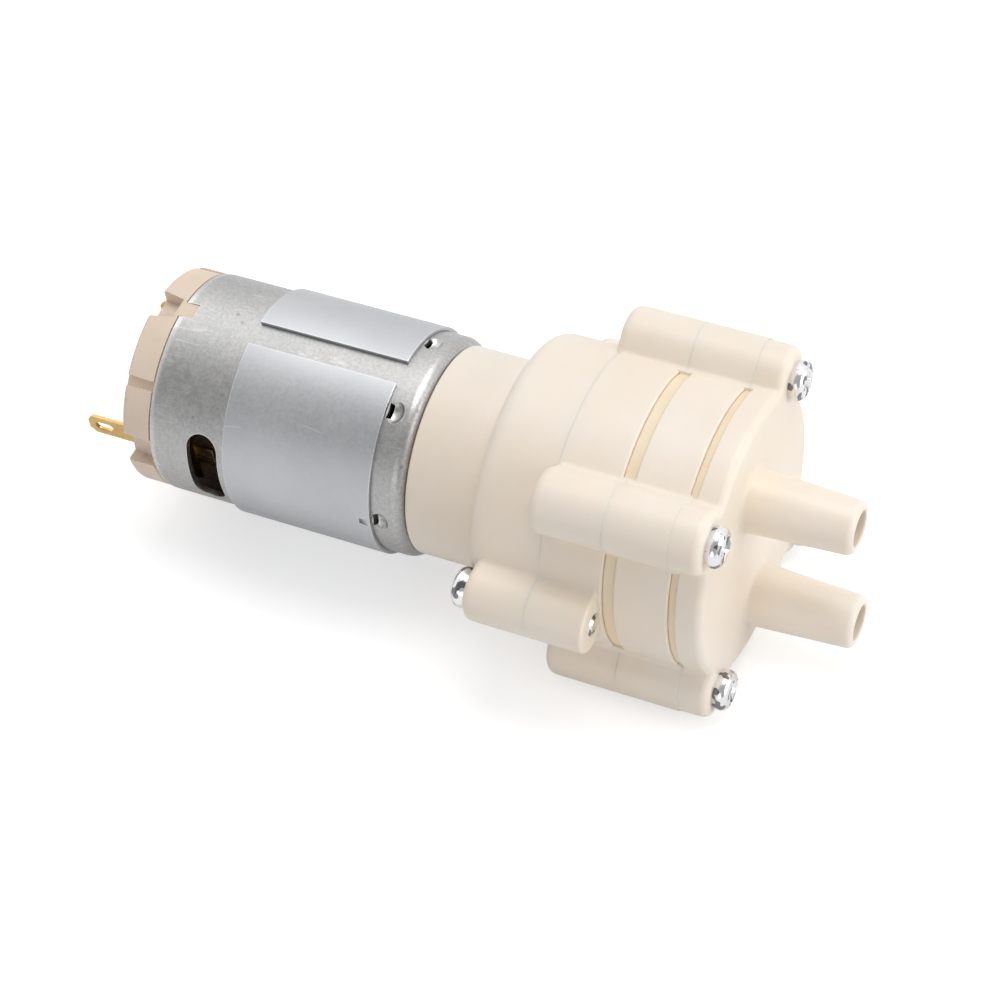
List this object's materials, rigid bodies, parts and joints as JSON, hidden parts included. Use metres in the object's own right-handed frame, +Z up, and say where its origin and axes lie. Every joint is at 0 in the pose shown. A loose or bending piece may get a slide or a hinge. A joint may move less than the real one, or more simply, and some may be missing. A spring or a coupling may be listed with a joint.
{
  "type": "mini diaphragm pump",
  "caption": "Mini diaphragm pump: round brushed motor with solder tabs, layered cream plastic pump head with screws, and two parallel hose nozzles at the front.",
  "frame": {"origin": "on the shaft axis, at the middle of the steel ring round the motor can", "axes": "+X along the shaft from the motor to the nozzles, +Z up along the line from the inlet nozzle to the outlet nozzle"},
  "size_m": [0.0986, 0.046, 0.035],
  "materials": {
    "can_steel": "galvanised sheet, blotchy and lightly scratched",
    "ring_zinc": "smooth blue-grey zinc",
    "screw_zinc": "bright zinc plate",
    "shaft_steel": "ground",
    "cream_plastic": "cream moulded plastic, slightly translucent",
    "drive_plastic": "white acetal",
    "yellow_rubber": "soft yellowish rubber",
    "bell_plastic": "tan moulded plastic",
    "tab_brass": "stamped sheet",
    "brush_carbon": "pressed carbon",
    "coil_copper": "enamelled copper wire",
    "commutator_copper": "turned copper",
    "magnet_ferrite": "sintered ferrite",
    "core_steel": "stacked laminations",
    "bush_bronze": "sintered bronze"
  },
  "bodies": {
    "pump_body": {"motor_can": "can_steel", "flux_ring": "ring_zinc", "magnets": "magnet_ferrite", "magnet_springs": "shaft_steel", "end_bell": "bell_plastic", "terminals": "tab_brass", "brush_arms": "tab_brass", "brushes": "brush_carbon", "rear_bush": "bush_bronze", "front_bush": "bush_bronze", "motor_screws": "screw_zinc", "rear_housing": "cream_plastic", "cup_housing": "cream_plastic", "diaphragm": "yellow_rubber", "valve_plate": "cream_plastic", "inlet_valves": "yellow_rubber", "outlet_valve": "yellow_rubber", "cover_seal": "yellow_rubber", "front_cover": "cream_plastic", "front_screws": "screw_zinc", "rear_screws": "screw_zinc"},
    "rotor": {"motor_shaft": "shaft_steel", "armature_core": "core_steel", "windings": "coil_copper", "commutator": "commutator_copper", "shaft_spacers": "drive_plastic", "drive_hub": "drive_plastic", "drive_pin": "shaft_steel"},
    "wobbler": {"wobble_plate": "drive_plastic"}
  },
  "joints": [
    {"name": "shaft_spin", "type": "hinge", "parent": "pump_body", "child": "rotor", "pos_m": [0, 0, 0], "axis": [1, 0, 0], "continuous": true},
    {"name": "wobble_spin", "type": "hinge", "parent": "rotor", "child": "wobbler", "pos_m": [0.0297, 0, 0], "axis": [0.9877, 0, -0.1564], "continuous": true, "deforming": ["diaphragm"]}
  ],
  "couplings": [
    {"joint": "wobble_spin", "follows": "shaft_spin", "ratio": -1}
  ]
}
